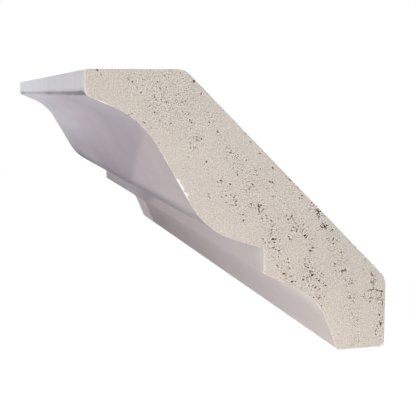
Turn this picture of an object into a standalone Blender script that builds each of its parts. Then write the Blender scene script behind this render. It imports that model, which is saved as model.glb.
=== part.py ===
"""Crown moulding piece: one short straight run of a primed wooden cornice moulding.

The run is one solid. Its section has a fascia at the ceiling, a cove that turns into a
round belly, a square step, a small foot cove and a narrow lip against the wall. The back
is flat and slopes from the ceiling strip to the wall strip, and both ends are cut square.

Metres, +Z up. +X runs along the length, +Y points at the wall and -Y into the room.
The origin is the middle of the wall strip, where the piece is fixed.
"""
import math

import bmesh
import bpy
from mathutils import Vector

# Overall sizes of the run
LENGTH = 0.305
PROJECTION = 0.089
DROP = 0.0825

# Flats that bed on the ceiling and on the wall
CEILING_STRIP = 0.0275
WALL_STRIP = 0.021
BACK_CORNER_RADIUS = 0.005

# Fascia, and the rounded arris under it
FASCIA_HEIGHT = 0.007
FASCIA_CORNER_RADIUS = 0.0006
FASCIA_ARRIS_RADIUS = 0.0024

# Cove: from the foot of the fascia to where its two slopes would meet
COVE_RUN = 0.0154
COVE_FALL = 0.0064
COVE_RADIUS = 0.025

# Belly: from where its two slopes would meet to the top of the step
BELLY_RUN = 0.0171
BELLY_FALL = 0.0058
BELLY_RADIUS = 0.0235

# Step, measured from the wall
STEP_REACH = 0.0386
STEP_HEIGHT = 0.0071
STEP_CORNER_RADIUS = 0.0005

# Foot cove: its height, and from the lip to where its two slopes would meet
FOOT_HEIGHT = 0.0245
FOOT_COVE_RUN = 0.0065
FOOT_COVE_RISE = 0.016
FOOT_COVE_RADIUS = 0.017

# Lip at the bottom, measured from the wall
LIP_REACH = 0.0152
LIP_RADIUS = 0.0008

# Greatest gap between an arc and the short straight sides that stand for it
ARC_GAP = 0.00001

WELD_DISTANCE = 0.00001
SHARP_ANGLE = math.radians(30)
PRIMER_COLOUR = (0.62, 0.59, 0.57, 1.0)
PRIMER_ROUGHNESS = 0.6
PIECE_NAME = "crown_moulding"


def clear_scene():
    """Remove every object that the file already holds."""
    for old in list(bpy.data.objects):
        bpy.data.objects.remove(old, do_unlink=True)


def section_corners():
    """List the section's corners as (reach from the wall, depth below the ceiling, radius).

    They run from the fascia's top edge down the face, along the foot and up the back.
    """
    fascia_foot = FASCIA_HEIGHT
    step_foot = DROP - FOOT_HEIGHT
    step_top = step_foot - STEP_HEIGHT
    return [
        (PROJECTION, 0.0, FASCIA_CORNER_RADIUS),
        (PROJECTION, fascia_foot, FASCIA_ARRIS_RADIUS),
        (PROJECTION - COVE_RUN, fascia_foot + COVE_FALL, COVE_RADIUS),
        (STEP_REACH + BELLY_RUN, step_top - BELLY_FALL, BELLY_RADIUS),
        (STEP_REACH, step_top, STEP_CORNER_RADIUS),
        (STEP_REACH, step_foot, STEP_CORNER_RADIUS),
        (LIP_REACH + FOOT_COVE_RUN, DROP - FOOT_COVE_RISE, FOOT_COVE_RADIUS),
        (LIP_REACH, DROP, LIP_RADIUS),
        (0.0, DROP, LIP_RADIUS),
        (0.0, DROP - WALL_STRIP, BACK_CORNER_RADIUS),
        (PROJECTION - CEILING_STRIP, 0.0, BACK_CORNER_RADIUS),
    ]


def rounded_corner(before, corner, after, radius):
    """Replace one corner by an arc that touches both its sides.

    An arc takes at most half of the shorter side, so neighbouring arcs never meet.
    """
    to_before = before - corner
    to_after = after - corner
    half_angle = to_before.angle(to_after) / 2
    room = min(to_before.length, to_after.length) / 2
    tangent = min(radius / math.tan(half_angle), room)
    radius = tangent * math.tan(half_angle)

    start = corner + to_before.normalized() * tangent
    middle = (to_before.normalized() + to_after.normalized()).normalized()
    centre = corner + middle * (radius / math.sin(half_angle))
    turn = math.pi - 2 * half_angle
    side_angle = 2 * math.acos(max(1 - ARC_GAP / radius, 0.0))
    sides = max(2, math.ceil(turn / side_angle))

    spoke = start - centre
    along = corner - start
    clockwise = spoke.x * along.y - spoke.y * along.x < 0
    arc = []
    for side in range(sides + 1):
        angle = turn * side / sides * (-1 if clockwise else 1)
        swing = Vector((
            spoke.x * math.cos(angle) - spoke.y * math.sin(angle),
            spoke.x * math.sin(angle) + spoke.y * math.cos(angle),
        ))
        arc.append(centre + swing)
    return arc


def section_outline():
    """Work out the closed section in (y, z), with every corner rounded by its radius."""
    origin_depth = DROP - WALL_STRIP / 2
    corners = section_corners()
    points = [Vector((-reach, origin_depth - depth)) for reach, depth, _ in corners]
    outline = []
    for index, (_, _, radius) in enumerate(corners):
        before = points[index - 1]
        after = points[(index + 1) % len(points)]
        outline.extend(rounded_corner(before, points[index], after, radius))
    return outline


def primer_material():
    """Matte off-white primer over wood."""
    material = bpy.data.materials.new("primed_wood")
    material.use_nodes = True
    shader = material.node_tree.nodes["Principled BSDF"]
    shader.inputs["Base Color"].default_value = PRIMER_COLOUR
    shader.inputs["Roughness"].default_value = PRIMER_ROUGHNESS
    shader.inputs["Metallic"].default_value = 0.0
    return material


def extruded_section(name, outline, length):
    """Fill the outline as a flat curve and give it the run's length."""
    curve = bpy.data.curves.new(name, "CURVE")
    curve.dimensions = "2D"
    curve.fill_mode = "BOTH"
    curve.extrude = length / 2
    spline = curve.splines.new("POLY")
    spline.points.add(len(outline) - 1)
    for point, place in zip(spline.points, outline):
        point.co = (place.x, place.y, 0.0, 1.0)
    spline.use_cyclic_u = True
    return curve


def closed_mesh(name, curve):
    """Turn the filled curve into one closed mesh, smooth over its round stretches."""
    guide = bpy.data.objects.new(name, curve)
    bpy.context.scene.collection.objects.link(guide)
    evaluated = guide.evaluated_get(bpy.context.evaluated_depsgraph_get())
    mesh = bpy.data.meshes.new_from_object(evaluated)
    bpy.data.objects.remove(guide, do_unlink=True)
    bpy.data.curves.remove(curve)

    welded = bmesh.new()
    welded.from_mesh(mesh)
    bmesh.ops.remove_doubles(welded, verts=welded.verts, dist=WELD_DISTANCE)
    welded.to_mesh(mesh)
    welded.free()
    mesh.name = name
    mesh.shade_smooth()
    mesh.set_sharp_from_angle(angle=SHARP_ANGLE)
    return mesh


def build_piece(collection):
    """Make the run and turn it so that its length lies along X."""
    section = extruded_section(PIECE_NAME, section_outline(), LENGTH)
    mesh = closed_mesh(PIECE_NAME, section)
    mesh.materials.clear()
    mesh.materials.append(primer_material())
    piece = bpy.data.objects.new(PIECE_NAME, mesh)
    piece.rotation_euler = (math.radians(90), 0.0, math.radians(90))
    collection.objects.link(piece)


def main():
    clear_scene()
    collection = bpy.data.collections.new("crown_moulding_piece")
    bpy.context.scene.collection.children.link(collection)
    build_piece(collection)


main()
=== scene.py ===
"""A short run of primed crown moulding, seen from its sawn end.

The run is one closed piece on the frame's solid. Its section is the solid's own, with true
arcs, and its ends carry the torn grain that the saw left under the primer. Metres, +Z up:
+X runs along the length, +Y points at the wall, and the moulded face looks to -Y and down.
"""

import math

import bpy
import numpy as np
from mathutils import Matrix, Vector


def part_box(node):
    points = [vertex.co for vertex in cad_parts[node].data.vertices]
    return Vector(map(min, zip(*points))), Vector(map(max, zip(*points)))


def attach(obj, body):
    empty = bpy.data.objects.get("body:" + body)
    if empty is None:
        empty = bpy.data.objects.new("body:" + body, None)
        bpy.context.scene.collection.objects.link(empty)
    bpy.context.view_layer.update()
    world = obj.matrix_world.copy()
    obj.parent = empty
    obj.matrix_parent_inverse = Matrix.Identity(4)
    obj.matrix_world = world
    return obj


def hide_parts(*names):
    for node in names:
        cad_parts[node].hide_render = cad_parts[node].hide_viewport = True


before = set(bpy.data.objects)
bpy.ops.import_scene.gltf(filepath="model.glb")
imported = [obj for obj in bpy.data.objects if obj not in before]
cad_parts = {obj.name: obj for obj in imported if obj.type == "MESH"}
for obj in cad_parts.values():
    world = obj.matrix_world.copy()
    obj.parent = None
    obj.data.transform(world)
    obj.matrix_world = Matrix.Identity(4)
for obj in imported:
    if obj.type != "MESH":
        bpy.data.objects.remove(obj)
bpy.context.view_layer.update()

MM = 0.001

# The run's overall sizes, as the frame gives them
LOW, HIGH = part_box("crown_moulding")
HALF_LENGTH = HIGH.x
CEILING = HIGH.z
PROJECTION = -LOW.y
DROP = HIGH.z - LOW.z

# The section's own sizes, as the solid has them
CEILING_STRIP = 27.5 * MM
WALL_STRIP = 21.0 * MM
BACK_CORNER_RADIUS = 5.0 * MM
FASCIA_HEIGHT = 7.0 * MM
FASCIA_CORNER_RADIUS = 0.6 * MM
FASCIA_ARRIS_RADIUS = 2.4 * MM
COVE_RUN = 15.4 * MM
COVE_FALL = 6.4 * MM
COVE_RADIUS = 25.0 * MM
BELLY_RUN = 17.1 * MM
BELLY_FALL = 5.8 * MM
BELLY_RADIUS = 23.5 * MM
STEP_REACH = 38.6 * MM
STEP_HEIGHT = 7.1 * MM
STEP_CORNER_RADIUS = 0.5 * MM
FOOT_HEIGHT = 24.5 * MM
FOOT_COVE_RUN = 6.5 * MM
FOOT_COVE_RISE = 16.0 * MM
FOOT_COVE_RADIUS = 17.0 * MM
LIP_REACH = 15.2 * MM
LIP_RADIUS = 0.8 * MM

# How finely the surfaces are worked out
ARC_STEPS = 40
END_ROWS = 560
END_COLUMNS = 130
SIDEWAYS_WEIGHT = 0.7

# The sawn ends: the eased edge round them and the texture of their primer
EASED_EDGE = 0.11 * MM
EASED_EDGE_SPREAD = 0.06 * MM
PRIMER_SKIN = 0.05 * MM
SAND_CELL = 0.45 * MM
SAND_RELIEF = 0.03 * MM

# How the torn spots disturb the sawn grain round them: how much each pit adds, how far
# that reaches past the spot, and the size of the patches that thin it. Then the most that
# the faint ground between the spots adds, and the size of its stretches
DISTURBED_PER_PIT = 0.19
DISTURBED_REACH = 1.5
DISTURBED_PATCH = 1.4 * MM
DISTURBED_GROUND = 0.30
DISTURBED_STRETCH = 6.0 * MM

# Growth rings of the board: their common centre as (reach, depth below the ceiling), the
# first one's radius, the gap from one to the next, and how many there are
RING_CENTRE = (243.0 * MM, 147.0 * MM)
RING_FIRST = 217.7 * MM
RING_PITCH = 6.9 * MM
RING_COUNT = 6

# Torn spots on the near end, in millimetres: reach and depth below the ceiling, how far the
# spot's pits are spread, how many it has at least, and how long their strokes are at most
TORN_SPOTS = (
    # beside the ceiling strip and the cove
    (84.0, 2.0, 0.9, 2, 0.1), (77.0, 1.9, 0.7, 3, 0.1), (75.0, 4.0, 0.9, 3, 0.2),
    (70.5, 10.6, 0.9, 4, 0.2), (68.6, 13.6, 0.8, 3, 0.1), (66.0, 14.8, 0.9, 4, 0.2),
    (71.3, 1.6, 1.1, 3, 0.1), (67.9, 5.0, 1.2, 5, 0.3), (70.0, 8.0, 1.2, 4, 0.2),
    (76.0, 12.2, 0.8, 3, 0.1), (74.0, 14.6, 0.8, 4, 0.2), (72.0, 17.0, 0.7, 3, 0.1),
    # the ring through the belly
    (62.4, 12.6, 0.6, 3, 0.1), (59.9, 13.9, 0.4, 2, 0.1), (60.0, 16.0, 0.6, 2, 0.1),
    (58.3, 19.0, 0.8, 5, 0.2), (59.0, 21.4, 0.6, 3, 0.2), (55.3, 27.0, 1.0, 4, 0.1),
    (51.5, 30.4, 0.5, 4, 0.5), (49.7, 32.9, 0.6, 3, 0.2), (47.6, 36.6, 0.9, 9, 0.2),
    (44.6, 41.0, 1.0, 6, 0.2), (54.8, 35.2, 0.2, 1, 0.2),
    # the ring behind it, and a few between the rings
    (55.0, 12.5, 0.8, 3, 0.2), (53.8, 15.2, 0.5, 3, 0.5), (51.9, 17.3, 0.6, 4, 0.3),
    (49.7, 20.9, 0.5, 4, 0.2), (48.4, 22.9, 0.5, 4, 0.4), (46.3, 25.0, 0.9, 6, 0.3),
    (45.4, 28.4, 0.7, 6, 0.3), (43.2, 33.5, 0.8, 7, 0.3), (42.4, 30.8, 1.1, 5, 0.2),
    (40.0, 39.2, 0.5, 6, 0.9), (38.3, 42.6, 0.8, 5, 0.5), (41.5, 37.6, 0.7, 5, 0.3),
    (34.9, 44.8, 0.8, 6, 0.3), (38.4, 49.1, 0.6, 4, 0.2), (35.4, 49.2, 1.0, 14, 0.3),
    (34.4, 51.6, 0.9, 10, 0.3), (32.4, 56.2, 0.7, 7, 0.4), (30.8, 59.0, 0.9, 9, 0.4),
    (28.8, 61.0, 0.7, 6, 0.3), (36.0, 46.4, 0.8, 5, 0.2), (49.5, 36.1, 0.8, 5, 0.2),
    (41.3, 28.6, 0.8, 4, 0.2), (37.1, 32.5, 0.8, 5, 0.3), (32.8, 36.6, 0.8, 4, 0.2),
    # the third ring
    (39.7, 22.9, 0.4, 2, 0.4), (35.8, 27.5, 0.2, 1, 0.2), (35.6, 35.6, 0.3, 2, 0.2),
    (32.4, 39.6, 0.8, 3, 0.1), (30.5, 42.2, 0.8, 6, 0.4), (28.4, 44.8, 0.9, 12, 0.3),
    (26.6, 46.4, 0.8, 8, 0.4), (25.3, 47.4, 0.3, 3, 0.3), (30.7, 48.0, 0.3, 3, 0.2),
    (23.8, 51.8, 0.5, 6, 0.4), (25.3, 54.0, 0.9, 6, 0.2), (24.4, 56.4, 0.8, 13, 0.4),
    (23.4, 59.3, 0.8, 13, 0.4), (21.2, 60.6, 0.5, 5, 0.3), (25.4, 59.6, 0.6, 6, 0.2),
    (22.9, 63.6, 0.8, 8, 0.2), (21.0, 66.2, 0.6, 8, 0.3), (19.6, 68.2, 0.6, 4, 0.3),
    (24.0, 49.2, 0.7, 5, 0.4), (23.9, 61.7, 0.7, 6, 0.4), (19.6, 62.2, 0.7, 6, 0.3),
    # the fourth ring, close to the sloping back, and below it
    (30.6, 30.9, 0.2, 1, 0.1), (29.5, 34.0, 0.6, 4, 0.2), (27.5, 36.3, 0.5, 5, 0.2),
    (23.7, 38.0, 0.6, 6, 0.3), (22.0, 40.8, 0.7, 16, 0.5), (20.0, 44.8, 0.6, 13, 0.5),
    (17.9, 47.4, 0.8, 8, 0.3), (16.6, 49.8, 0.5, 6, 0.3), (18.2, 50.5, 0.6, 4, 0.2),
    (14.8, 53.0, 0.6, 5, 0.3), (14.0, 55.0, 0.5, 4, 0.3), (13.1, 58.1, 0.3, 4, 0.4),
    (16.0, 56.6, 0.7, 4, 0.2), (12.6, 61.0, 0.7, 3, 0.2), (10.9, 62.3, 0.6, 4, 0.3),
    (15.3, 57.8, 0.8, 5, 0.3), (10.7, 66.3, 0.6, 5, 0.3), (5.9, 67.0, 0.9, 6, 0.3),
    # torn fibres against the wall strip
    (6.5, 55.4, 0.3, 2, 0.2), (4.2, 60.3, 0.3, 4, 0.6), (3.9, 62.6, 0.5, 6, 0.8),
    (1.2, 69.0, 0.6, 10, 0.4), (1.2, 72.4, 0.9, 4, 0.2), (1.1, 75.3, 0.5, 7, 0.6),
    (2.2, 78.1, 0.5, 4, 0.8),
)

# Spots that are torn only shallowly, in the same terms
FAINT_SPOTS = (
    # below the ceiling strip
    (67.0, 1.5, 1.0, 5, 0.1), (67.3, 10.0, 1.2, 6, 0.1), (63.5, 1.4, 1.2, 6, 0.1),
    (64.0, 4.5, 1.4, 8, 0.1), (63.6, 7.6, 1.4, 8, 0.2), (60.6, 5.4, 1.2, 4, 0.1),
    (61.0, 8.9, 1.2, 4, 0.1), (65.0, 11.3, 1.2, 4, 0.1),
    # behind the lip
    (11.5, 66.8, 0.6, 7, 0.4), (11.4, 69.6, 0.6, 8, 0.4), (10.2, 73.0, 0.9, 9, 0.7),
    (9.6, 77.6, 0.8, 6, 0.6), (9.0, 80.3, 0.7, 4, 0.3),
)

# Single pits that stand out, in millimetres: reach, depth below the ceiling, radius and
# how deep
LONE_PITS = (
    (85.4, 0.2, 0.20, 0.34), (84.4, 1.6, 0.16, 0.20), (76.8, 2.0, 0.15, 0.20),
    (75.7, 4.0, 0.16, 0.22), (73.5, 4.4, 0.17, 0.22), (73.8, 6.2, 0.18, 0.36),
    (69.1, 3.3, 0.18, 0.38), (68.5, 5.2, 0.18, 0.34), (67.4, 6.2, 0.18, 0.28),
    (67.2, 1.5, 0.15, 0.22), (65.9, 1.6, 0.16, 0.26), (62.7, 1.0, 0.16, 0.30),
    (58.8, 3.2, 0.27, 0.45), (56.9, 6.7, 0.18, 0.28), (61.3, 8.5, 0.16, 0.22),
    (72.4, 8.4, 0.16, 0.24), (71.9, 8.5, 0.15, 0.22), (69.6, 8.2, 0.15, 0.20),
    (68.3, 8.2, 0.16, 0.22), (64.1, 6.9, 0.15, 0.20), (69.9, 11.7, 0.18, 0.34),
    (70.6, 10.5, 0.15, 0.20), (68.5, 13.9, 0.16, 0.22), (65.8, 15.0, 0.17, 0.24),
    (59.8, 14.0, 0.16, 0.26), (62.3, 13.1, 0.15, 0.20), (65.1, 17.3, 0.15, 0.20),
    (59.1, 18.4, 0.17, 0.30), (58.2, 18.6, 0.17, 0.30), (57.6, 19.7, 0.16, 0.26),
    (59.0, 21.8, 0.16, 0.26), (62.8, 19.3, 0.15, 0.20), (60.2, 20.0, 0.15, 0.20),
    (60.5, 24.1, 0.15, 0.22), (68.7, 20.0, 0.15, 0.24), (76.3, 11.9, 0.14, 0.18),
    (67.1, 1.7, 0.16, 0.30), (68.1, 8.2, 0.16, 0.30), (44.1, 17.8, 0.17, 0.32),
    (42.5, 20.2, 0.17, 0.31), (39.6, 23.4, 0.16, 0.30), (35.7, 27.8, 0.18, 0.35),
    (51.3, 30.8, 0.20, 0.38), (30.5, 31.4, 0.18, 0.35), (54.6, 35.4, 0.16, 0.31),
    (47.5, 35.7, 0.18, 0.35), (35.0, 35.9, 0.17, 0.32), (39.0, 36.9, 0.16, 0.30),
    (47.6, 37.9, 0.17, 0.32), (46.8, 37.9, 0.16, 0.30), (23.8, 38.0, 0.18, 0.34),
    (39.3, 38.3, 0.18, 0.34), (23.4, 38.6, 0.19, 0.35), (24.4, 39.8, 0.16, 0.29),
    (39.5, 40.0, 0.15, 0.24), (44.7, 40.0, 0.15, 0.24), (21.8, 40.7, 0.24, 0.45),
    (22.3, 41.4, 0.17, 0.32), (19.7, 42.0, 0.19, 0.35), (21.5, 42.2, 0.23, 0.44),
    (44.6, 42.6, 0.17, 0.31), (20.5, 43.6, 0.16, 0.30), (27.9, 44.6, 0.19, 0.36),
    (34.3, 45.2, 0.16, 0.29), (20.5, 45.3, 0.20, 0.38), (28.5, 46.3, 0.19, 0.37),
    (25.8, 47.2, 0.17, 0.31), (25.2, 47.9, 0.21, 0.41), (33.6, 48.3, 0.16, 0.29),
    (35.9, 48.4, 0.17, 0.32), (30.6, 48.4, 0.21, 0.41), (17.0, 48.9, 0.17, 0.31),
    (35.3, 50.6, 0.19, 0.36), (23.2, 51.2, 0.16, 0.30), (33.7, 51.6, 0.17, 0.31),
    (24.4, 52.1, 0.19, 0.36), (25.4, 54.2, 0.19, 0.35), (31.0, 54.2, 0.21, 0.40),
    (30.9, 55.2, 0.16, 0.30), (25.6, 56.8, 0.16, 0.29), (23.5, 59.5, 0.25, 0.48),
    (26.2, 60.7, 0.16, 0.30), (28.7, 61.0, 0.17, 0.31), (21.3, 61.1, 0.23, 0.45),
    (10.8, 62.4, 0.17, 0.32), (22.1, 63.1, 0.16, 0.29), (19.6, 66.0, 0.16, 0.30),
    (21.2, 66.5, 0.20, 0.37), (11.4, 66.9, 0.16, 0.30),
)

# Long torn strokes, in millimetres: reach and depth where each starts and where it ends,
# and its half width. Most lie near the wall strip, and the last six among the rings
TORN_STROKES = (
    (4.0, 60.0, 3.8, 62.6, 0.11), (3.9, 63.0, 3.6, 65.0, 0.09), (5.8, 65.1, 3.1, 64.8, 0.12),
    (2.9, 65.2, 0.6, 65.7, 0.14), (5.0, 65.9, 3.3, 65.7, 0.10), (5.4, 67.5, 3.6, 67.3, 0.12),
    (3.2, 67.6, 1.4, 67.4, 0.10), (2.7, 64.8, 2.5, 66.6, 0.10), (2.6, 67.0, 2.2, 68.4, 0.09),
    (1.1, 65.4, 1.3, 67.2, 0.12), (0.9, 68.0, 0.7, 69.9, 0.12), (4.4, 65.2, 4.5, 67.2, 0.08),
    (40.4, 38.1, 39.9, 39.4, 0.14), (39.9, 39.6, 39.6, 40.7, 0.12), (39.3, 40.1, 38.3, 39.0, 0.08),
    (22.2, 39.9, 21.6, 41.2, 0.13), (21.4, 41.4, 21.7, 42.6, 0.11), (20.3, 44.2, 19.7, 45.3, 0.14),
)

# How the spots' pits are made: pits for each one listed, and how widely they are strewn
SPOT_PITS = 1.1
SPOT_STREW = 1.15

# How the strokes are torn: how much of the half width counts, and how deep they are
STROKE_WIDTH = 0.85
STROKE_DEPTH = 0.27 * MM

# What else the saw tore, at random: pits along the rings, and pinholes all over. The far
# end keeps one in three of them. Then the seed of everything random about the pits
RING_PITS = 520
RING_PIT_DRIFT = 0.75 * MM
PINHOLES = 650
FAR_END_SPARSENESS = 3
PIT_SEED = 77

# How ragged a pit is: how far its edge is pushed about, and the size of the noise that does
# it. Then the size of the crumbs round pits, and the pit's depth that gives a full crumb
PIT_WARP = 0.16 * MM
PIT_WARP_CELL = 0.5 * MM
PIT_CRUMB_CELL = 0.35 * MM
PIT_CRUMB_DEPTH = 0.32 * MM

# Where pale coat shows along the near edge: on the belly, at the top of the cove, on the
# fascia and on the step, where it is partly a painted highlight on the edge. Each has the depth
# below the ceiling where it is strongest, its half height, its width and how pale it is
EDGE_COATS = (
    (32.8 * MM, 5.0 * MM, 1.30 * MM, 1.0),
    (8.8 * MM, 0.9 * MM, 1.30 * MM, 0.9),
    (2.5 * MM, 8.0 * MM, 0.60 * MM, 0.7),
    (54.5 * MM, 5.0 * MM, 1.60 * MM, 0.20),
)

# Pale crumbs all along the near edge: their width, and the share of the edge without any
CRUMB_WIDTH = 0.35 * MM
CRUMB_FREE = 0.60

# Pale patch at the bottom corner by the wall: how far it runs from the wall and how high
CORNER_PATCH = (2.0 * MM, 1.3 * MM)

# Dark line where the fascia turns into its arris: its depth below the ceiling, how far it
# wanders, its half height, the reach where it starts, and its colour. Then the soft
# darkening above it
DARK_LINE_DEPTH = 6.35 * MM
DARK_LINE_WANDER = 0.12 * MM
DARK_LINE_HALF_HEIGHT = 0.96 * MM
DARK_LINE_REACH = 85.5 * MM
DARK_LINE_COLOUR = (0.034, 0.032, 0.036)
SOFT_DARK_HEIGHT = 1.9 * MM
SOFT_DARK_STRENGTH = 0.50

# How strong the line is along the run, as (place from the sawn end in millimetres, strength)
DARK_LINE_STRENGTHS = (
    (-305, 1.0), (-272, 0.9), (-250, 0.45), (-150, 0.45), (-130, 0.58), (-116, 0.86),
    (-104, 0.80), (-84, 0.64), (-68, 0.68), (-54, 0.86), (-42, 0.90), (-30, 0.86),
    (-20, 0.92), (-8, 1.0), (-3, 0.90), (0, 0.40),
)

# Painted shadow edge slanting across the cove: its depth at the near end, how far along the
# run it falls for each unit of depth, half its soft width, how far it wavers, and the painted light
# below
SHADOW_EDGE_DEPTH = 15.0 * MM
SHADOW_EDGE_SLOPE = 4.11
SHADOW_EDGE_SPREAD = 1.5 * MM
SHADOW_EDGE_WAVER = 0.8 * MM
LIT_BELOW_EDGE = (1.06, 1.05, 1.03)

# The painted tones above the edge: the common shade, then near the sawn end, painted light
# high in the cove, shade low in it, and painted light low in it at the far end
SHADE_ABOVE_EDGE = (0.92, 0.92, 0.94)
SHADE_ABOVE_EDGE_NEAR = (0.86, 0.86, 0.885)
LIGHT_ABOVE_EDGE_TOP = (1.00, 1.00, 1.02)
SHADE_ABOVE_EDGE_LOW = (0.80, 0.80, 0.83)
LIGHT_ABOVE_EDGE_FAR = (1.10, 1.10, 1.11)

# Where they pass into each other, from and to: places from the sawn end, or depths
NEAR_PLACES = (-115 * MM, -55 * MM)
NEAR_DEPTHS = (8 * MM, 13 * MM)
TOP_FAR_PLACES = (-240 * MM, -180 * MM)
TOP_NEAR_PLACES = (-110 * MM, -65 * MM)
TOP_DEPTHS = (14 * MM, 20 * MM)
LOW_PLACES = (-215 * MM, -165 * MM)
LOW_DEPTHS = (29 * MM, 40 * MM)

# Painted shade where the belly turns under: its depth, half its height and its tone. Then the
# stretches where it weakens towards each end, and the share that is left there
TURN_DEPTH = 43.3 * MM
TURN_SPREAD = 5.2 * MM
TURN_SHADE = (0.47, 0.47, 0.50)
TURN_FAR_PLACES = (-125 * MM, -80 * MM)
TURN_FAR_SHARE = 0.60
TURN_NEAR_PLACES = (-50 * MM, -20 * MM)
TURN_NEAR_SHARE = 0.84

# The fascia's tones at both ends, painted light near the sawn end and painted shade at the far end, and
# how much lighter or darker its brushed streaks are
FASCIA_NEAR = (1.035, 1.03, 1.045)
FASCIA_FAR = (0.925, 0.91, 0.895)
BRUSHED = 0.03

# Painted tones on the step and the foot, and the stretches of the run where each comes or goes:
# painted shade towards the far end, painted light on the near step and a painted highlight on its edge,
# and painted light on the far foot
LOW_FAR_SHADE = (0.895, 0.89, 0.885)
LOW_FAR_PLACES = (-230 * MM, -60 * MM)
STEP_NEAR_LIGHT = (1.12, 1.15, 1.12)
STEP_NEAR_PLACES = (-80 * MM, 0.0)
STEP_EDGE_HIGHLIGHT = (1.12, 1.12, 1.12)
STEP_EDGE_PLACES = (-8 * MM, -1 * MM)
FOOT_FAR_LIGHT = (1.68, 1.58, 1.58)
FOOT_FAR_PLACES = (-277 * MM, -269 * MM)

# Specks of the disturbed grain: noise scale, slant of the strokes, how far they are drawn
# out, and how far each lies from its pale crumb, which is a painted highlight
SPECK_SCALE = 3300
STROKE_SLANT = math.radians(38)
STROKE_STRETCH = 1.8
HIGHLIGHT_SHIFT = (0, -0.15 * MM, 0.25 * MM)

# The sawn end's base colours, the paler one down by the wall strip, and the depths where it takes over.
# Then the colours of crumbs and of the pale coat, both partly painted highlight, and of specks and of
# torn grain, both partly painted shade
END_COLOURS = ((0.598, 0.545, 0.482), (0.588, 0.525, 0.472))
END_FOOT_PALE = (0.616, 0.565, 0.506)
END_FOOT_DEPTHS = (55 * MM, 76 * MM)
CRUMB_AND_HIGHLIGHT_COLOUR = (0.80, 0.765, 0.72)
COAT_AND_HIGHLIGHT_COLOUR = (0.90, 0.87, 0.83)
SPECK_AND_SHADE_COLOUR = (0.200, 0.132, 0.095)
TORN_WOOD_AND_SHADE = (0.125, 0.060, 0.032)

# Torn grain this deep takes the full dark colour: bare wood darkened by painted shade. Then
# how deep the pits of the two kinds of spot go at most, in millimetres
DARK_DEPTH = 0.26 * MM
TORN_DEEPEST = 0.50
FAINT_DEEPEST = 0.26

SHARP_ANGLE = math.radians(40)


def section_corners():
    """The section's corners as (reach from the wall, depth below the ceiling, radius).

    They run down the moulded face from the fascia's top edge, and back up the hidden side.
    """
    step_foot = DROP - FOOT_HEIGHT
    step_top = step_foot - STEP_HEIGHT
    face = [
        (PROJECTION, 0, FASCIA_CORNER_RADIUS),
        (PROJECTION, FASCIA_HEIGHT, FASCIA_ARRIS_RADIUS),
        (PROJECTION - COVE_RUN, FASCIA_HEIGHT + COVE_FALL, COVE_RADIUS),
        (STEP_REACH + BELLY_RUN, step_top - BELLY_FALL, BELLY_RADIUS),
        (STEP_REACH, step_top, STEP_CORNER_RADIUS),
        (STEP_REACH, step_foot, STEP_CORNER_RADIUS),
        (LIP_REACH + FOOT_COVE_RUN, DROP - FOOT_COVE_RISE, FOOT_COVE_RADIUS),
        (LIP_REACH, DROP, LIP_RADIUS),
    ]
    back = [
        (0, DROP, LIP_RADIUS),
        (0, DROP - WALL_STRIP, BACK_CORNER_RADIUS),
        (PROJECTION - CEILING_STRIP, 0, BACK_CORNER_RADIUS),
    ]
    return face, back


def rounded_corner(before, corner, after, radius):
    """The arc that rounds one corner: it touches both sides at radius / tan(half the angle)."""
    point = np.array(corner)
    to_before = np.array(before) - point
    to_after = np.array(after) - point
    to_before /= np.linalg.norm(to_before)
    to_after /= np.linalg.norm(to_after)
    half = math.acos(np.dot(to_before, to_after)) / 2
    middle = to_before + to_after
    centre = point + middle / np.linalg.norm(middle) * radius / math.sin(half)
    touch = radius / math.tan(half)
    first = point + to_before * touch - centre
    last = point + to_after * touch - centre
    start = math.atan2(first[1], first[0])
    turn = (math.atan2(last[1], last[0]) - start + math.pi) % (2 * math.pi) - math.pi
    angles = start + turn * np.linspace(0, 1, ARC_STEPS)
    return centre + radius * np.stack([np.cos(angles), np.sin(angles)], axis=1)


def section_paths():
    """The face's path and the back's path, each as points (reach, depth) from top to bottom.

    Each corner's arc follows the next, so the straight stretches are the gaps between arcs.
    """
    face, back = section_corners()
    corners = face + back
    arcs = []
    for index, (reach, depth, radius) in enumerate(corners):
        before = corners[index - 1][:2]
        after = corners[(index + 1) % len(corners)][:2]
        arcs.append(rounded_corner(before, (reach, depth), after, radius))
    face_path = np.concatenate(arcs[: len(face)])
    back_path = np.concatenate(arcs[len(face):])[::-1]
    return face_path, back_path


def filled_path(path, gap):
    """The same path with points at most one gap apart, by straight steps along its length."""
    steps = np.linalg.norm(np.diff(path, axis=0), axis=1)
    length = np.concatenate([[0], np.cumsum(steps)])
    places = np.linspace(0, length[-1], int(length[-1] / gap) + 1)
    return np.stack([np.interp(places, length, path[:, axis]) for axis in (0, 1)], axis=1)


def path_normals(path, side):
    """Unit normals of a path that runs downwards: its direction turned a quarter to one side."""
    direction = np.gradient(path, axis=0)
    direction /= np.linalg.norm(direction, axis=1)[:, None]
    return side * np.stack([-direction[:, 1], direction[:, 0]], axis=1)


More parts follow.
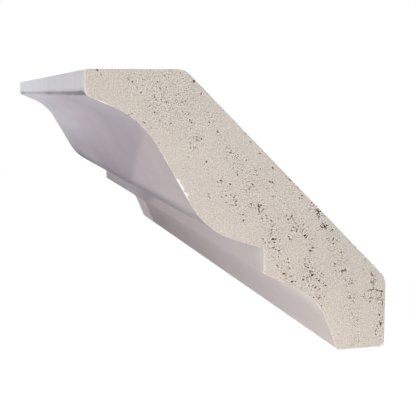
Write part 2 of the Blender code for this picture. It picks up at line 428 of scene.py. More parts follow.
def section_rows():
    """Both ends of every level line across the section, with the normals that point inwards.

    The rows lie at equal shares of a measure along the face: its fall, with its sideways
    travel at a lower weight. The back's point of a row has the same depth as the face's.
    """
    face_path, back_path = section_paths()
    face = filled_path(face_path, 0.02 * MM)
    back = filled_path(back_path, 0.02 * MM)
    face_normal = path_normals(face, 1)
    back_normal = path_normals(back, -1)
    travel = np.abs(np.diff(face, axis=0)) * (SIDEWAYS_WEIGHT, 1)
    measure = np.concatenate([[0], np.cumsum(np.linalg.norm(travel, axis=1))])
    places = np.linspace(0, measure[-1], END_ROWS + 1)

    def along_face(values):
        return np.interp(places, measure, values)

    face_rows = np.stack([along_face(face[:, 0]), along_face(face[:, 1])], axis=1)
    face_inward = np.stack([along_face(face_normal[:, 0]), along_face(face_normal[:, 1])], axis=1)
    depth = np.clip(face_rows[:, 1], back[0, 1], back[-1, 1])

    def at_depth(values):
        return np.interp(depth, back[:, 1], values)

    back_rows = np.stack([at_depth(back[:, 0]), depth], axis=1)
    back_inward = np.stack([at_depth(back_normal[:, 0]), at_depth(back_normal[:, 1])], axis=1)
    return face_rows, face_inward, back_rows, back_inward


def ease(value):
    """Smooth step from 0 to 1: three times the square less twice the cube."""
    share = np.clip(value, 0, 1)
    return share * share * (3 - 2 * share)


def lattice_noise(reach, depth, cell, seed):
    """Smooth noise from 0 to 1: random values on a square lattice, eased between neighbours."""
    size = 1024
    lattice = np.random.default_rng(seed).random((size, size))
    across = reach / cell
    down = depth / cell
    column = np.floor(across).astype(int)
    row = np.floor(down).astype(int)
    share_across = ease(across - column)
    share_down = ease(down - row)

    def level(line):
        left = lattice[line % size, column % size]
        return left * (1 - share_across) + lattice[line % size, (column + 1) % size] * share_across

    return level(row) * (1 - share_down) + level(row + 1) * share_down


def spot_pits(rng, spots, deepest):
    """The pits of some spots: each lies off its spot's middle by a normal spread.

    A spot gets a tenth more pits than it lists, rounded up. A row is (reach, depth, angle,
    half length, radius, how deep), in metres and radians.
    """
    spots = np.array(spots)
    spots = np.repeat(spots, np.ceil(SPOT_PITS * spots[:, 3]).astype(int), axis=0)
    count = len(spots)
    place = spots[:, :2] + rng.normal(0, SPOT_STREW, (count, 2)) * spots[:, 2:3]
    angle = rng.normal(math.pi / 2, 0.9, count)
    half_length = spots[:, 4] * rng.uniform(0.0, 0.4, count)
    size = rng.random(count) ** 1.5
    radius = 0.10 + 0.12 * size
    deep = deepest * (0.22 + 0.78 * rng.random(count) * (0.5 + 0.5 * size))
    return np.column_stack([place * MM, angle, half_length * MM, radius * MM, deep * MM])


def lone_pits():
    """The single pits that stand out: upright strokes with a half length of radius / 3."""
    places = np.array(LONE_PITS) * MM
    angle = np.full(len(places), math.pi / 2)
    radius = places[:, 2]
    return np.column_stack([places[:, :2], angle, radius / 3, radius, places[:, 3]])


def stroke_pits():
    """The long torn strokes as pits: middle, angle and half length from their two ends.

    The radius is a fixed share of the half width, and all are equally deep.
    """
    strokes = np.array(TORN_STROKES) * MM
    run = strokes[:, 2:4] - strokes[:, 0:2]
    middle = (strokes[:, 2:4] + strokes[:, 0:2]) / 2
    angle = np.arctan2(run[:, 1], run[:, 0])
    half_length = np.linalg.norm(run, axis=1) / 2
    deep = np.full(len(strokes), STROKE_DEPTH)
    return np.column_stack([middle, angle, half_length, STROKE_WIDTH * strokes[:, 4], deep])


def ring_pits(rng, count):
    """Small pits strewn along the growth rings, larger and deeper towards the foot."""
    ring = RING_FIRST + RING_PITCH * rng.integers(0, RING_COUNT, count)
    ring = ring + rng.normal(0, RING_PIT_DRIFT, count)
    depth = DROP * rng.random(count) ** 0.8
    reach = RING_CENTRE[0] - np.sqrt(ring ** 2 - (RING_CENTRE[1] - depth) ** 2)
    angle = rng.normal(math.pi / 2, 0.7, count)
    growth = 0.6 + 0.4 * depth / DROP
    half_length = rng.uniform(0, 0.12 * MM, count)
    radius = rng.uniform(0.09 * MM, 0.16 * MM, count) * growth
    deep = rng.uniform(0.05 * MM, 0.22 * MM, count) * growth
    return np.column_stack([reach, depth, angle, half_length, radius, deep])


def pinhole_pits(rng, count):
    """Round pinholes strewn evenly over the whole section."""
    reach = rng.uniform(0, PROJECTION, count)
    depth = rng.uniform(0, DROP, count)
    angle = np.zeros(count)
    radius = rng.uniform(0.08 * MM, 0.13 * MM, count)
    deep = rng.uniform(0.02 * MM, 0.12 * MM, count)
    return np.column_stack([reach, depth, angle, np.zeros(count), radius, deep])


def torn_field(reach, depth, pits):
    """How deep the grain is torn at each place, and how much crumb stands round the pits.

    A pit is a capsule: a bowl swept along a short stroke, deepest on the stroke and running
    out at its radius. The deepest pit counts at each place. The crumb is a ragged rim just
    outside a pit. Places are first pushed about by fine noise, so that no pit is round.
    """
    across = reach + PIT_WARP * 2 * (lattice_noise(reach, depth, PIT_WARP_CELL, 11) - 0.5)
    down = depth + PIT_WARP * 2 * (lattice_noise(reach, depth, PIT_WARP_CELL, 12) - 0.5)
    torn = np.zeros_like(reach)
    crumb = np.zeros_like(reach)
    for middle_reach, middle_depth, angle, half_length, radius, deep in pits:
        off_reach = across - middle_reach
        off_depth = down - middle_depth
        lengthwise = np.abs(off_reach * math.cos(angle) + off_depth * math.sin(angle))
        sideways = off_depth * math.cos(angle) - off_reach * math.sin(angle)
        overshoot = np.maximum(lengthwise - half_length, 0)
        share = (overshoot ** 2 + sideways ** 2) / radius ** 2
        np.maximum(torn, deep * np.clip(1.3 * (1 - share), 0, 1), out=torn)
        rim = np.clip(1 - np.abs(share - 2.4) / 1.5, 0, 1) * deep / PIT_CRUMB_DEPTH
        np.maximum(crumb, rim, out=crumb)
    crumb *= ease(3 * (lattice_noise(reach, depth, PIT_CRUMB_CELL, 13) - 0.4))
    return torn, crumb * (torn <= 0.02 * MM)


def disturbed_grain(reach, depth):
    """How disturbed the sawn grain is at each place, from 0 to 1.

    Every torn spot adds a bell-shaped share that grows with the number of its pits. Patchy
    noise thins the sum, and slower noise adds a faint ground to it. With s as the sum, the
    share is 1 less the exponential of -s.
    """
    total = np.zeros_like(reach)
    for spot_reach, spot_depth, spread, pits, _ in TORN_SPOTS + FAINT_SPOTS:
        away = (reach / MM - spot_reach) ** 2 + (depth / MM - spot_depth) ** 2
        total += DISTURBED_PER_PIT * pits * np.exp(-away / (DISTURBED_REACH + spread) ** 2)
    total *= 0.4 + 1.2 * lattice_noise(reach, depth, DISTURBED_PATCH, 23)
    total += DISTURBED_GROUND * ease(2 * lattice_noise(reach, depth, DISTURBED_STRETCH, 27) - 0.5)
    return 1 - np.exp(-total)


def edge_coat(depth, gap):
    """How thick the pale coat shows near the face's edge, from 0 to 1; on the fascia and the step it is
    partly a painted highlight.

    Each stretch of coat fades with the depth's distance from its middle, and runs out across
    its own width from the edge. Noise along the edge breaks it up. Where a second noise is
    high, crumbs of coat lie on the edge too.
    """
    coat = np.zeros_like(depth)
    uneven = 0.2 + 1.5 * lattice_noise(depth, gap * 0.4, 0.8 * MM, 17) ** 1.5
    for middle, half_height, width, pale in EDGE_COATS:
        along = ease(1.6 * (1 - np.abs(depth - middle) / half_height))
        across = ease(1.7 * (1 - gap / (width * uneven * along + 1e-6)))
        coat = np.maximum(coat, pale * along * across)
    crumbs = ease((lattice_noise(depth, gap * 0.4, 0.45 * MM, 29) - CRUMB_FREE) / 0.15)
    return np.maximum(coat, 0.45 * crumbs * ease(1.5 * (1 - gap / CRUMB_WIDTH)))


def corner_patch(reach, depth):
    """The pale patch at the bottom corner: a triangle against the wall strip and the lip."""
    run, rise = CORNER_PATCH
    inside = 1 - reach / run - (DROP - depth) / rise
    return ease(4 * inside)


def end_outline(rows, inset):
    """Inset points of the rows' two ends. The inset may differ from row to row."""
    face, face_inward, back, back_inward = rows
    return face + face_inward * inset[:, None], back + back_inward * inset[:, None]


def eased_edge(rows):
    """Width of the eased edge at each row: an even part, and a ragged one from noise."""
    depth = rows[0][:, 1]
    ragged = lattice_noise(depth, depth * 0.3, 1.1 * MM, 19)
    return EASED_EDGE + EASED_EDGE_SPREAD * (ragged - 0.5)


def end_grid(rows, step, pits, seed):
    """One sawn end: a grid of level lines from the face's edge to the back's.

    A point lies at the share t of its line, from the inset face point to the inset back
    point. It then sinks by the primer's sandy skin and by the torn grain.
    Returns reach, depth and how far each point is sunk, then how deep it is torn and the
    shares of crumb, coat and disturbed grain.
    """
    face, back = end_outline(rows, eased_edge(rows))
    face = face[::step]
    back = back[::step]
    share = np.linspace(0, 1, END_COLUMNS // step + 1)[None, :]
    reach = face[:, :1] * (1 - share) + back[:, :1] * share
    depth = face[:, 1:] * (1 - share) + back[:, 1:] * share
    torn, crumb = torn_field(reach, depth, pits)
    sand = lattice_noise(reach, depth, SAND_CELL, seed)
    sand = 0.6 * sand + 0.4 * lattice_noise(reach, depth, SAND_CELL / 2, seed + 1)
    sunk = PRIMER_SKIN * (1 - crumb) + SAND_RELIEF * (2 * sand - 1) + torn
    border = np.zeros_like(reach, dtype=bool)
    border[[0, -1], :] = True
    border[:, [0, -1]] = True
    sunk = np.where(border, np.minimum(sunk, 0.8 * EASED_EDGE), sunk)
    coat = edge_coat(depth, reach_from_face(rows, reach, depth))
    coat = np.maximum(coat, 0.75 * corner_patch(reach, depth))
    rough = disturbed_grain(reach, depth)
    return reach, depth, np.maximum(sunk, 0), torn, crumb, coat, rough


def reach_from_face(rows, reach, depth):
    """Sideways distance of each place from the moulded face at the same depth."""
    return np.interp(depth, rows[0][:, 1], rows[0][:, 0]) - reach


def border_loop(row_count, column_count):
    """Index of each border point of a grid in turn: down the face, along the foot and back."""
    index = np.arange((row_count + 1) * (column_count + 1)).reshape(row_count + 1, -1)
    sides = (index[:, 0], index[-1, 1:], index[-2::-1, -1], index[0, -2:0:-1])
    return np.concatenate(sides)


def grid_quads(row_count, column_count):
    """The grid's quads, facing +X when reach runs to -Y and depth runs down."""
    index = np.arange((row_count + 1) * (column_count + 1)).reshape(row_count + 1, -1)
    corners = (index[:-1, :-1], index[1:, :-1], index[1:, 1:], index[:-1, 1:])
    return np.stack([corner.ravel() for corner in corners], axis=1)


def band_quads(nearer, farther):
    """Quads between two closed loops of as many points, facing outwards."""
    return np.stack([nearer, farther, np.roll(farther, -1), np.roll(nearer, -1)], axis=1)


def zip_triangles(fine, coarse):
    """Triangles from a loop to one with half as many points: three for each coarse side."""
    first = fine[0::2]
    second = fine[1::2]
    third = np.roll(first, -1)
    following = np.roll(coarse, -1)
    return np.concatenate([
        np.stack([first, coarse, second], axis=1),
        np.stack([second, coarse, following], axis=1),
        np.stack([second, following, third], axis=1),
    ])


def placed(along, reach, depth):
    """Points of the frame from places along the run, reaches from the wall and depths."""
    along = np.broadcast_to(along, reach.shape)
    return np.stack([along, -reach, CEILING - depth], axis=-1).reshape(-1, 3)


def outline_loop(rows):
    """The full section's outline as one loop, in the order of the grid's border.

    The ceiling strip and the lip's underside take points at even shares between their ends.
    """
    face, _, back, _ = rows
    share = np.linspace(0, 1, END_COLUMNS + 1)[:, None]
    foot = face[-1] * (1 - share) + back[-1] * share
    top = back[0] * (1 - share) + face[0] * share
    return np.concatenate([face, foot[1:], back[-2::-1], top[1:-1]])


def build_run():
    """The whole run as one closed mesh: two sawn ends joined by the moulded sides.

    The near end's grid meets the sides through an eased edge. The sides are the section's
    outline carried along X over four stations. The far end's grid is half as fine, so
    triangles zip its border to the sides.
    """
    rng = np.random.default_rng(PIT_SEED)
    rows = section_rows()
    near_pits = np.concatenate([
        spot_pits(rng, TORN_SPOTS, TORN_DEEPEST), spot_pits(rng, FAINT_SPOTS, FAINT_DEEPEST),
        lone_pits(), stroke_pits(), ring_pits(rng, RING_PITS), pinhole_pits(rng, PINHOLES),
    ])
    far_pits = np.concatenate([ring_pits(rng, RING_PITS), pinhole_pits(rng, PINHOLES)])
    far_pits = far_pits[::FAR_END_SPARSENESS]

    near = end_grid(rows, 1, near_pits, 31)
    far = end_grid(rows, 2, far_pits, 41)
    outline = outline_loop(rows)
    first = HALF_LENGTH - EASED_EDGE
    second = HALF_LENGTH - 3 * EASED_EDGE
    stations = (first, second, -second, -first)

    parts = [placed(HALF_LENGTH - near[2], near[0], near[1])]
    for station in stations:
        parts.append(placed(station, outline[:, 0], outline[:, 1]))
    parts.append(placed(far[2] - HALF_LENGTH, far[0], far[1]))
    points = np.concatenate(parts)

    near_count = len(parts[0])
    far_start = len(points) - len(parts[-1])
    loops = [border_loop(END_ROWS, END_COLUMNS)]
    for number in range(len(stations)):
        start = near_count + number * len(outline)
        loops.append(np.arange(start, start + len(outline)))
    far_loop = far_start + border_loop(END_ROWS // 2, END_COLUMNS // 2)

    near_faces = grid_quads(END_ROWS, END_COLUMNS)
    side_faces = np.concatenate([band_quads(a, b) for a, b in zip(loops[:-1], loops[1:])])
    zip_faces = zip_triangles(loops[-1], far_loop)
    far_faces = far_start + grid_quads(END_ROWS // 2, END_COLUMNS // 2)[:, ::-1]

    moulded = np.arange(len(outline)) < END_ROWS
    side_finish = np.where(moulded, 1, 2)
    finish = np.concatenate([
        np.zeros(len(near_faces), int),
        np.where(moulded, 0, 2),
        np.tile(side_finish, len(loops) - 2),
        np.full(len(zip_faces), 1),
        np.zeros(len(far_faces), int),
    ])

    shares = {}
    for name, column in (("torn", 3), ("crumb", 4), ("coat", 5), ("rough", 6)):
        values = np.zeros(len(points), np.float32)
        values[:near_count] = near[column].ravel()
        values[far_start:] = 0 if name == "coat" else far[column].ravel()
        shares[name] = values
    shares["torn"] = shares["torn"] / DARK_DEPTH

    polygons = near_faces.tolist() + side_faces.tolist() + zip_faces.tolist() + far_faces.tolist()
    mesh = bpy.data.meshes.new("primed_run")
    mesh.from_pydata(points.tolist(), [], polygons)
    mesh.polygons.foreach_set("material_index", finish.astype(np.int32))
    mesh.polygons.foreach_set("use_smooth", np.ones(len(polygons), dtype=bool))
    for name, values in shares.items():
        attribute = mesh.attributes.new(name, "FLOAT", "POINT")
        attribute.data.foreach_set("value", values)
    mesh.set_sharp_from_angle(angle=SHARP_ANGLE)
    mesh.update()
    return mesh


def new_finish(name, roughness):
    """A new material, with its node tree and its Principled shader."""
    material = bpy.data.materials.new(name)
    material.use_nodes = True
    tree = material.node_tree
    shader = tree.nodes["Principled BSDF"]
    shader.inputs["Roughness"].default_value = roughness
    return material, tree, shader


def add_node(tree, kind, inputs=None, **settings):
    """One node with its settings made and its inputs set or linked."""
    node = tree.nodes.new(kind)
    for name, value in settings.items():
        setattr(node, name, value)
    for key, value in (inputs or {}).items():
        if isinstance(value, bpy.types.NodeSocket):
            tree.links.new(value, node.inputs[key])
        else:
            node.inputs[key].default_value = value
    return node


def object_place(tree):
    """Object coordinates, which run in metres in the frame."""
    return add_node(tree, "ShaderNodeTexCoord").outputs["Object"]


def depth_and_axes(tree, place):
    """The depth of a place below the ceiling, and its three axes."""
    axes = add_node(tree, "ShaderNodeSeparateXYZ", {"Vector": place}).outputs
    return maths(tree, "SUBTRACT", CEILING, axes["Z"]), axes


def grain(tree, place, scale, detail=2.0, rough=0.5, stretch=(1, 1, 1)):
    """Noise from 0 to 1 on a place, drawn out by a stretch along each axis."""
    if stretch != (1, 1, 1):
        place = add_node(tree, "ShaderNodeMapping", {"Vector": place, "Scale": stretch}).outputs[0]
    inputs = {"Vector": place, "Scale": scale, "Detail": detail, "Roughness": rough}
    return add_node(tree, "ShaderNodeTexNoise", inputs).outputs["Fac"]


def remap(tree, value, low, high, out_low=0.0, out_high=1.0):
    """A value from one range eased onto another, kept inside it."""
    inputs = {"Value": value, "From Min": low, "From Max": high}
    inputs.update({"To Min": out_low, "To Max": out_high})
    node = add_node(tree, "ShaderNodeMapRange", inputs, interpolation_type="SMOOTHSTEP")
    return node.outputs["Result"]


def maths(tree, operation, first, second=0.0):
    """One operation on two values."""
    return add_node(tree, "ShaderNodeMath", {0: first, 1: second}, operation=operation).outputs[0]


def blend(tree, share, first, second, mode="MIX"):
    """Two colours mixed by a share."""
    node = add_node(tree, "ShaderNodeMix", data_type="RGBA", blend_type=mode)
    for key, value in ((0, share), (6, first), (7, second)):
        if isinstance(value, bpy.types.NodeSocket):
            tree.links.new(value, node.inputs[key])
        else:
            node.inputs[key].default_value = value if key == 0 else (*value, 1.0)
    return node.outputs[2]


def product(tree, first, second):
    """Two shares multiplied."""
    return maths(tree, "MULTIPLY", first, second)


def multiplied(tree, colour, factor):
    """A colour times another."""
    return blend(tree, 1.0, colour, factor, "MULTIPLY")


def toned(tree, tone, share, colour):
    """The tone times a colour where the share is 1, and as it was where it is 0."""
    return multiplied(tree, tone, blend(tree, share, (1, 1, 1), colour))


def grey(tree, value):
    """A grey colour from one value."""
    return add_node(tree, "ShaderNodeCombineColor", {0: value, 1: value, 2: value}).outputs[0]


def attribute(tree, name):
    """A share that the mesh carries at its points."""
    return add_node(tree, "ShaderNodeAttribute", attribute_name=name).outputs["Fac"]


def dress(tree, shader, colour, height, distance):
    """Give the shader a colour, and bump of a height from 0 to 1 over a real distance."""
    bump = add_node(tree, "ShaderNodeBump", {"Height": height, "Distance": distance, "Strength": 1.0})
    tree.links.new(colour, shader.inputs["Base Color"])
    tree.links.new(bump.outputs["Normal"], shader.inputs["Normal"])


def slanted(tree, place):
    """The place turned about the run's length and drawn out along the saw's slanting strokes."""
    inputs = {"Vector": place, "Rotation": (STROKE_SLANT, 0, 0), "Scale": (1, STROKE_STRETCH, 1)}
    return add_node(tree, "ShaderNodeMapping", inputs, vector_type="TEXTURE").outputs[0]


def sawn_end_finish():
    """Thick matte primer soaked into end grain: sandy, warm, and brown in the torn pits, which
    carry painted shade.

    It is a little paler down by the wall strip. Where the grain is disturbed the sand is
    coarser, and fine brown specks with painted shade lie in it on a slant, with a pale crumb
    below each as a painted highlight.
    """
    material, tree, shader = new_finish("primed_end_grain", 0.8)
    shader.inputs["Specular IOR Level"].default_value = 0.15
    place = object_place(tree)
    rough = attribute(tree, "rough")
    cloud = grain(tree, place, 45, 3.0, 0.55)
    colour = blend(tree, remap(tree, cloud, 0.35, 0.65), *END_COLOURS)
    depth, _ = depth_and_axes(tree, place)
    colour = blend(tree, remap(tree, depth, *END_FOOT_DEPTHS), colour, END_FOOT_PALE)

    sand = grain(tree, place, 2900, 2.0, 0.6)
    swing = maths(tree, "ADD", product(tree, rough, 0.9), 1.05)
    lightness = product(tree, maths(tree, "SUBTRACT", sand, 0.5), swing)
    lightness = maths(tree, "ADD", lightness, 1.0)
    colour = multiplied(tree, colour, grey(tree, lightness))

    # Brown specks, darkened by painted shade in them
    specks = remap(tree, grain(tree, slanted(tree, place), SPECK_SCALE, 1.0, 0.5), 0.40, 0.29)
    # Pale crumbs shifted below the specks: a painted highlight on each speck's rim
    shifted = add_node(tree, "ShaderNodeVectorMath", {0: place, 1: HIGHLIGHT_SHIFT}, operation="ADD")
    crumbs = grain(tree, slanted(tree, shifted.outputs[0]), SPECK_SCALE, 1.0, 0.5)
    crumbs = product(tree, remap(tree, crumbs, 0.42, 0.32), product(tree, rough, 0.75))
    colour = blend(tree, crumbs, colour, CRUMB_AND_HIGHLIGHT_COLOUR)
    specks = product(tree, specks, rough)
    colour = blend(tree, specks, colour, SPECK_AND_SHADE_COLOUR)

    # Raised crumbs round the pits, painted pale partly as a highlight
    colour = blend(tree, attribute(tree, "crumb"), colour, CRUMB_AND_HIGHLIGHT_COLOUR)
    # Pale coat on the near edge, partly a painted highlight
    colour = blend(tree, attribute(tree, "coat"), colour, COAT_AND_HIGHLIGHT_COLOUR)
    # Torn pits: bare brown wood, darkened with depth by painted shade
    torn = remap(tree, attribute(tree, "torn"), 0.05, 1.0)
    colour = blend(tree, torn, colour, TORN_WOOD_AND_SHADE)
    height = maths(tree, "SUBTRACT", maths(tree, "ADD", sand, crumbs), specks)
    dress(tree, shader, colour, height, 0.05 * MM)
    return material


def moulded_finish():
    """Satin primer rolled along the run: fine streaks and blotches, painted light and shade, and
    the dark line under the fascia."""
    material, tree, shader = new_finish("primed_face", 0.45)
    place = object_place(tree)
    streak = grain(tree, place, 30, 3.0, 0.6, (1, 18, 18))
    mottle = grain(tree, place, 55, 2.0, 0.5)
    lightness = maths(tree, "ADD", remap(tree, streak, 0.3, 0.7, -0.015, 0.015), 1.0)
    lightness = maths(tree, "ADD", lightness, remap(tree, mottle, 0.3, 0.7, -0.02, 0.02))
    blotch = remap(tree, grain(tree, place, 38, 3.0, 0.6), 0.38, 0.62)
    colour = blend(tree, blotch, (0.566, 0.538, 0.569), (0.553, 0.547, 0.562))
    colour = multiplied(tree, colour, grey(tree, lightness))

    depth, axes = depth_and_axes(tree, place)
    colour = multiplied(tree, colour, tone_and_painted_light(tree, place, axes["X"], depth))
    colour = with_dark_line(tree, place, axes, depth, colour)
    dress(tree, shader, colour, grain(tree, place, 900, 2.0, 0.5), 0.01 * MM)
    return material


def with_dark_line(tree, place, axes, depth, colour):
    """The colour with the dark line laid over it: a narrow dark core and a soft darkening above it.

    The line wavers a little in depth, and its strength follows given places along the run.
    """
    along_share = maths(tree, "ADD", product(tree, axes["X"], 0.5 / HALF_LENGTH), 0.5)
    ramp = add_node(tree, "ShaderNodeValToRGB", {"Fac": along_share})
    stops = ramp.color_ramp.elements
    for stop, (_, strength) in zip(stops, (DARK_LINE_STRENGTHS[0], DARK_LINE_STRENGTHS[-1])):
        stop.color = (strength, strength, strength, 1.0)
    for from_end, strength in DARK_LINE_STRENGTHS[1:-1]:
        stop = stops.new(1 + from_end * MM / (2 * HALF_LENGTH))
        stop.color = (strength, strength, strength, 1.0)
    wander = grain(tree, place, 60, 2.0, 0.5, (1, 0, 0))
    below = maths(tree, "SUBTRACT", depth, DARK_LINE_DEPTH)
    below = maths(tree, "ADD", below, remap(tree, wander, 0.2, 0.8, -DARK_LINE_WANDER, DARK_LINE_WANDER))
    off = maths(tree, "ABSOLUTE", below)
    line = remap(tree, off, 0.25 * DARK_LINE_HALF_HEIGHT, DARK_LINE_HALF_HEIGHT, 1.0, 0.0)
    soft_dark = remap(tree, below, -SOFT_DARK_HEIGHT, 0.0, 0.0, SOFT_DARK_STRENGTH)
    soft_dark = product(tree, soft_dark, remap(tree, below, 0.0, DARK_LINE_HALF_HEIGHT, 1.0, 0.0))
    soft_dark = product(tree, soft_dark, remap(tree, grain(tree, place, 130, 2.0, 0.6), 0.3, 0.6))
    line = product(tree, maths(tree, "MAXIMUM", line, soft_dark), ramp.outputs["Color"])
    outer = remap(tree, axes["Y"], -DARK_LINE_REACH - 0.5 * MM, -DARK_LINE_REACH, 1.0, 0.0)
    line = product(tree, line, outer)
    return blend(tree, line, colour, DARK_LINE_COLOUR)


def upper_tone(tree, from_end, depth):
    """The painted shade or light above the shadow edge, blended from the common one and its four
    variants.
    """
    # Painted shade above the edge, lifted by painted light high in the cove and low at the far end
    near = product(tree, remap(tree, from_end, *NEAR_PLACES), remap(tree, depth, *NEAR_DEPTHS))
    upper = blend(tree, near, SHADE_ABOVE_EDGE, SHADE_ABOVE_EDGE_NEAR)
    top = product(tree, remap(tree, from_end, *TOP_NEAR_PLACES, 1.0, 0.0),
                  remap(tree, depth, *TOP_DEPTHS, 1.0, 0.0))
    top = product(tree, top, remap(tree, from_end, *TOP_FAR_PLACES))
    upper = blend(tree, top, upper, LIGHT_ABOVE_EDGE_TOP)
    lower = blend(tree, remap(tree, from_end, *LOW_PLACES), LIGHT_ABOVE_EDGE_FAR, SHADE_ABOVE_EDGE_LOW)
    return blend(tree, remap(tree, depth, *LOW_DEPTHS), upper, lower)


def fascia_tone(tree, place, from_end):
    """The fascia's tone: painted shade towards the far end, with upright brushed streaks."""
    # Painted light at the near end, painted shade towards the far end
    fascia = blend(tree, remap(tree, from_end, -1.2 * HALF_LENGTH, 0.0), FASCIA_FAR, FASCIA_NEAR)
    streaks = grain(tree, place, 150, 2.0, 0.6, (1, 0, 0))
    return multiplied(tree, fascia, grey(tree, remap(tree, streaks, 0.3, 0.7, 1 - BRUSHED, 1 + BRUSHED)))


def low_tone(tree, tone, from_end, depth):
    """The painted light and shade on the step and the foot.

    Both take painted shade towards the far end. The step takes painted light near the sawn
    end, and a painted highlight at its edge. The foot's far end takes a patch of painted light.
    """
    foot_top = DROP - FOOT_HEIGHT
    step_top = foot_top - STEP_HEIGHT
    low = remap(tree, depth, step_top - 0.5 * MM, step_top + 0.3 * MM)
    # Painted shade on the step and the foot towards the far end
    far = remap(tree, from_end, *LOW_FAR_PLACES, 1.0, 0.0)
    tone = toned(tree, tone, product(tree, low, far), LOW_FAR_SHADE)
    step = product(tree, low, remap(tree, depth, foot_top, foot_top + 0.5 * MM, 1.0, 0.0))
    # Painted light on the step near the sawn end, and a painted highlight at its edge
    near = product(tree, step, remap(tree, from_end, *STEP_NEAR_PLACES))
    tone = toned(tree, tone, near, STEP_NEAR_LIGHT)
    edge = product(tree, step, remap(tree, from_end, *STEP_EDGE_PLACES))
    tone = toned(tree, tone, edge, STEP_EDGE_HIGHLIGHT)
    # Painted light on the far end of the foot
    foot = remap(tree, depth, foot_top, foot_top + 1.0 * MM)
    far_foot_light = product(tree, foot, remap(tree, from_end, *FOOT_FAR_PLACES, 1.0, 0.0))
    return toned(tree, tone, far_foot_light, FOOT_FAR_LIGHT)


def tone_and_painted_light(tree, place, along, depth):
    """How painted light and shade drift over the moulded face, as a colour to multiply by.

    A painted shadow edge slants across the cove, with painted light below it and shade above.
    Painted shade darkens the belly where it turns under, and weakens towards both ends.
    """
    # Painted shadow edge: painted light below the slanting line, painted shade above it
    from_end = maths(tree, "SUBTRACT", along, HALF_LENGTH)
    shadow_edge = maths(tree, "ADD", product(tree, from_end, 1 / SHADOW_EDGE_SLOPE), depth)
    shadow_edge = maths(tree, "SUBTRACT", shadow_edge, SHADOW_EDGE_DEPTH)
    waver = grain(tree, place, 70, 2.0, 0.5)
    shadow_edge = maths(tree, "ADD", shadow_edge, remap(tree, waver, 0.2, 0.8, -SHADOW_EDGE_WAVER, SHADOW_EDGE_WAVER))
    upper = upper_tone(tree, from_end, depth)
    tone = blend(tree, remap(tree, shadow_edge, -SHADOW_EDGE_SPREAD, SHADOW_EDGE_SPREAD), upper, LIT_BELOW_EDGE)
    below_fascia = remap(tree, depth, FASCIA_HEIGHT - 1.0 * MM, FASCIA_HEIGHT + 0.5 * MM)
    tone = blend(tree, below_fascia, fascia_tone(tree, place, from_end), tone)

    # Painted shade on the belly where it turns away from the light
    off_turn = maths(tree, "ABSOLUTE", maths(tree, "SUBTRACT", depth, TURN_DEPTH))
    turn_shade = remap(tree, off_turn, 0.0, TURN_SPREAD, 1.0, 0.0)
    turn_shade = product(tree, turn_shade, remap(tree, from_end, *TURN_FAR_PLACES, TURN_FAR_SHARE, 1.0))
    turn_shade = product(tree, turn_shade, remap(tree, from_end, *TURN_NEAR_PLACES, 1.0, TURN_NEAR_SHARE))
    return low_tone(tree, toned(tree, tone, turn_shade, TURN_SHADE), from_end, depth)


def hidden_finish():
    """Thin primer over planed wood, for the bearing strips and the back."""
    material, tree, shader = new_finish("primed_back", 0.65)
    place = object_place(tree)
    fibre = grain(tree, place, 60, 4.0, 0.6, (1, 22, 22))
    colour = blend(tree, remap(tree, fibre, 0.3, 0.7), (0.60, 0.565, 0.53), (0.545, 0.50, 0.455))
    dress(tree, shader, colour, fibre, 0.03 * MM)
    return material


def add_run():
    """The dressed run, standing for the solid."""
    mesh = build_run()
    run = bpy.data.objects.new("primed_run", mesh)
    bpy.context.scene.collection.objects.link(run)
    for finish in (sawn_end_finish(), moulded_finish(), hidden_finish()):
        mesh.materials.append(finish)
    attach(run, "root")
    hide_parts("crown_moulding")


# The studio floor: how far below the run it lies, its size and its glow
FLOOR_DROP = 1.7
FLOOR_SIZE = 40.0
FLOOR_GLOW = 1.0

# The camera, fitted to the photograph: angles in degrees, lens in millimetres
CAMERA_PLACE = (0.3927, -0.1191, 0.0657)
CAMERA_AZIMUTH = 75.07
CAMERA_ELEVATION = 7.37
CAMERA_ROLL = -0.106
CAMERA_LENS = 77.3

# Soft lights: name, place, the point each faces, width and height, watts and colour. They
# were fitted to the photograph's tones, so some are strongly coloured
SOFT_LIGHTS = (
    ("high_far", (-0.920, -0.620, 1.150), (0.03, -0.045, 0.03), 0.4, 0.4, 29.8, (0.78, 0.96, 1.0)),
    ("front_near", (0.45, -0.38, 0.18), (0.05, -0.05, 0.02), 0.1, 0.1, 0.937, (1.0, 0.93, 0.63)),
    ("low_near", (0.30, -0.08, -0.12), (0.05, -0.05, 0.02), 0.1, 0.1, 0.257, (1.0, 0.84, 0.65)),
    ("end_near", (0.45, -0.08, 0.03), (0.05, -0.05, 0.02), 0.1, 0.1, 0.634, (0.69, 0.79, 1.0)),
    ("front_fill", (-0.05, -0.22, 0.03), (0.05, -0.05, 0.02), 0.1, 0.1, 0.120, (0.89, 0.75, 1.0)),
    ("front_low", (0.10, -0.20, -0.10), (0.08, -0.08, 0.06), 0.1, 0.1, 0.076, (1.0, 0.71, 0.0)),
    ("front_close", (0.12, -0.14, -0.05), (0.08, -0.08, 0.06), 0.1, 0.1, 0.0417, (0.19, 0.32, 1.0)),
    ("far_side", (-0.30, -0.12, 0.05), (-0.12, -0.07, 0.05), 0.1, 0.1, 0.0649, (0.92, 0.97, 1.0)),
    ("low_far", (-0.920, -0.212, -1.119), (0.03, -0.045, 0.03), 0.9, 0.9, 6.98, (0.96, 1.0, 0.80)),
    ("under", (0.03, -0.045, -1.47), (0.03, -0.045, 0.03), 0.9, 0.9, 7.33, (0.70, 0.64, 1.0)),
    ("behind", (-0.40, 1.20, 0.35), (0.0, -0.03, 0.03), 1.0, 0.8, 12.0, (1.0, 0.98, 0.96)),
    ("above", (0.0, 0.25, 1.30), (0.0, -0.03, 0.05), 0.7, 0.3, 5.0, (1.0, 0.74, 0.62)),
)


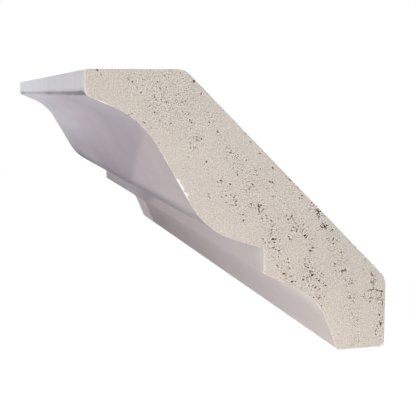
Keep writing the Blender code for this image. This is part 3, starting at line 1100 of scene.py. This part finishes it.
def add_floor():
    """A plain pale floor, well below the run."""
    half = FLOOR_SIZE / 2
    level = LOW.z - FLOOR_DROP
    corners = [(-half, -half, level), (half, -half, level), (half, half, level), (-half, half, level)]
    mesh = bpy.data.meshes.new("pale_floor")
    mesh.from_pydata(corners, [], [(0, 1, 2, 3)])
    floor = bpy.data.objects.new("pale_floor", mesh)
    bpy.context.scene.collection.objects.link(floor)
    material, tree, shader = new_finish("floor_white", 0.9)
    place = object_place(tree)
    colour = blend(tree, grain(tree, place, 3), (0.9, 0.9, 0.9), (0.92, 0.92, 0.92))
    tree.links.new(colour, shader.inputs["Base Color"])
    shader.inputs["Emission Color"].default_value = (1, 1, 1, 1)
    shader.inputs["Emission Strength"].default_value = FLOOR_GLOW
    mesh.materials.append(material)
    floor.visible_diffuse = False
    floor.visible_glossy = False


def add_light(name, place, aim, width, height, power, colour):
    """A rectangular soft light that faces the point it is aimed at."""
    data = bpy.data.lights.new(name, "AREA")
    data.shape = "RECTANGLE"
    data.size = width
    data.size_y = height
    data.energy = power
    data.color = colour
    light = bpy.data.objects.new(name, data)
    bpy.context.scene.collection.objects.link(light)
    light.visible_camera = False
    facing = (Vector(aim) - Vector(place)).to_track_quat("-Z", "Y")
    light.matrix_world = Matrix.Translation(Vector(place)) @ facing.to_matrix().to_4x4()


def add_lights():
    """White surroundings that light nothing, and the soft lights that do the work."""
    world = bpy.data.worlds.new("white_room")
    world.use_nodes = True
    world.node_tree.nodes["Background"].inputs["Color"].default_value = (1, 1, 1, 1)
    world.node_tree.nodes["Background"].inputs["Strength"].default_value = 1.0
    world.cycles_visibility.diffuse = False
    world.cycles_visibility.glossy = False
    bpy.context.scene.world = world
    for light in SOFT_LIGHTS:
        add_light(*light)


def add_camera():
    """The photograph's camera: it looks along the run, slightly down and hardly rolled."""
    data = bpy.data.cameras.new("camera")
    data.lens = CAMERA_LENS
    data.sensor_width = 36.0
    data.clip_start = 0.01
    camera = bpy.data.objects.new("camera", data)
    bpy.context.scene.collection.objects.link(camera)
    turn = math.radians(CAMERA_AZIMUTH)
    tilt = math.radians(CAMERA_ELEVATION)
    sight = Vector((-math.sin(turn) * math.cos(tilt), math.cos(turn) * math.cos(tilt), -math.sin(tilt)))
    facing = sight.to_track_quat("-Z", "Y").to_matrix().to_4x4()
    roll = Matrix.Rotation(math.radians(CAMERA_ROLL), 4, "Z")
    camera.matrix_world = Matrix.Translation(Vector(CAMERA_PLACE)) @ facing @ roll
    bpy.context.scene.camera = camera


add_run()
add_floor()
add_lights()
add_camera()
bpy.context.scene.view_settings.view_transform = "Standard"
